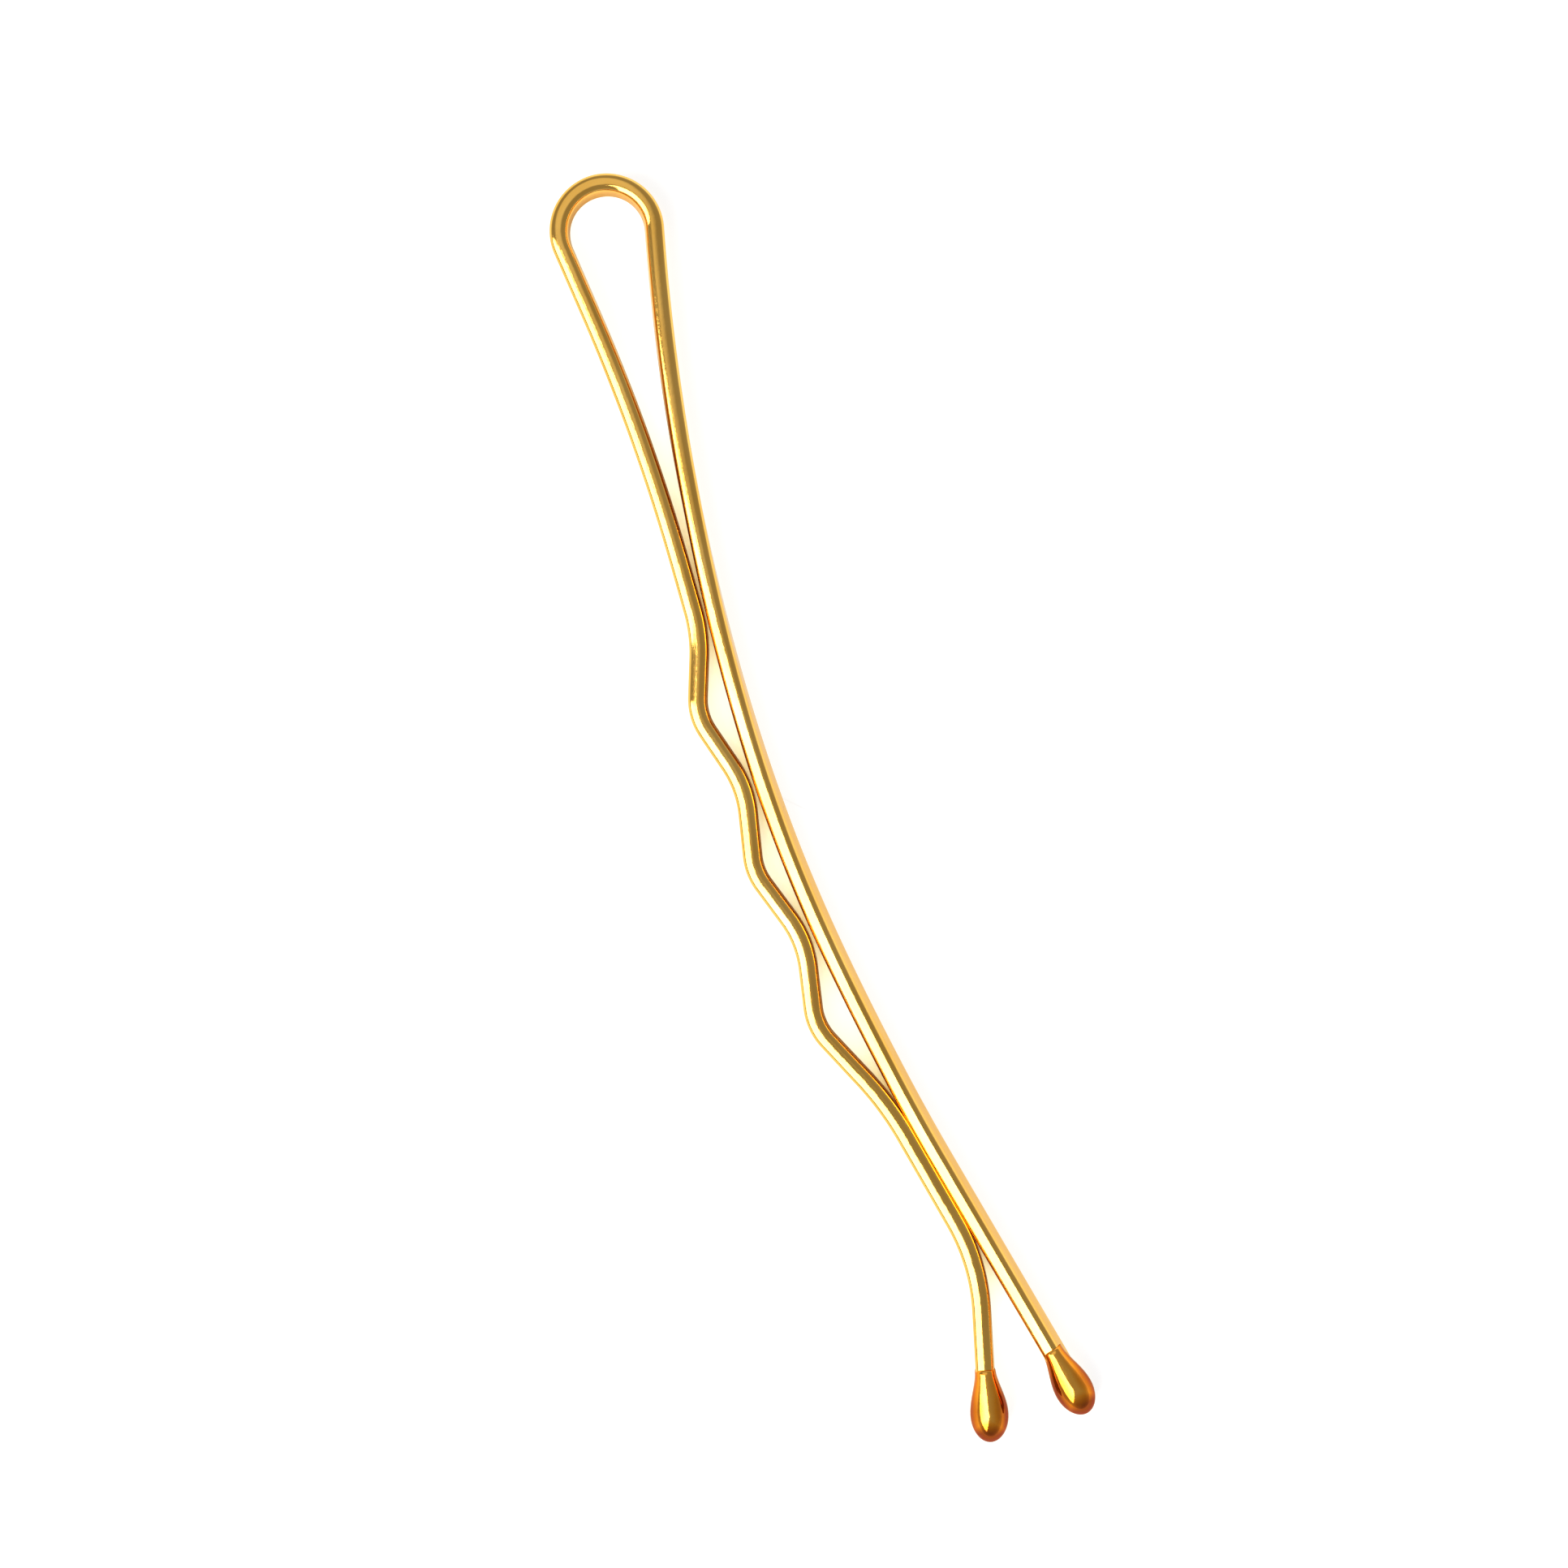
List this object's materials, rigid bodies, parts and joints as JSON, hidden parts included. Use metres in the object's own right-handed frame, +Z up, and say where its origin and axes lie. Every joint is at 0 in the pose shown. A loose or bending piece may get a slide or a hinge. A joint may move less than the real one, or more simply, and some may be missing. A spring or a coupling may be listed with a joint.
{
  "type": "bobby pin",
  "caption": "Bobby pin: a flattened spring wire bent into a loop, a bowed straight leg and a crimped wavy leg that grip hair, with a smooth dipped bead on each wire end.",
  "frame": {"origin": "middle of the bottom of the pin's box, with the pin lying on its side and its bends in a level plane", "axes": "+X from the loop to the beads, +Y towards the straight leg, +Z up, across the width of the wire"},
  "size_m": [0.0512, 0.0058, 0.0018],
  "materials": {
    "gold_wire": "gloss",
    "amber_bead": "gloss"
  },
  "bodies": {
    "loop": {"loop": "gold_wire"},
    "straight_leg": {"straight_leg": "gold_wire", "straight_leg_tip": "amber_bead"},
    "wavy_leg": {"wavy_leg": "gold_wire", "wavy_leg_tip": "amber_bead"}
  },
  "joints": [
    {"name": "wavy_leg_flex", "type": "hinge", "parent": "loop", "child": "wavy_leg", "pos_m": [-0.00935, -0.00139, 0.00088], "axis": [0, 0, -1], "range_deg": [0, 10], "stiffness_Nm_per_rad": 0.19},
    {"name": "straight_leg_flex", "type": "hinge", "parent": "loop", "child": "straight_leg", "pos_m": [-0.00897, -0.0005, 0.00088], "axis": [0, 0, 1], "range_deg": [0, 10], "stiffness_Nm_per_rad": 0.19}
  ],
  "couplings": [
    {"joint": "straight_leg_flex", "follows": "wavy_leg_flex", "ratio": 1}
  ]
}
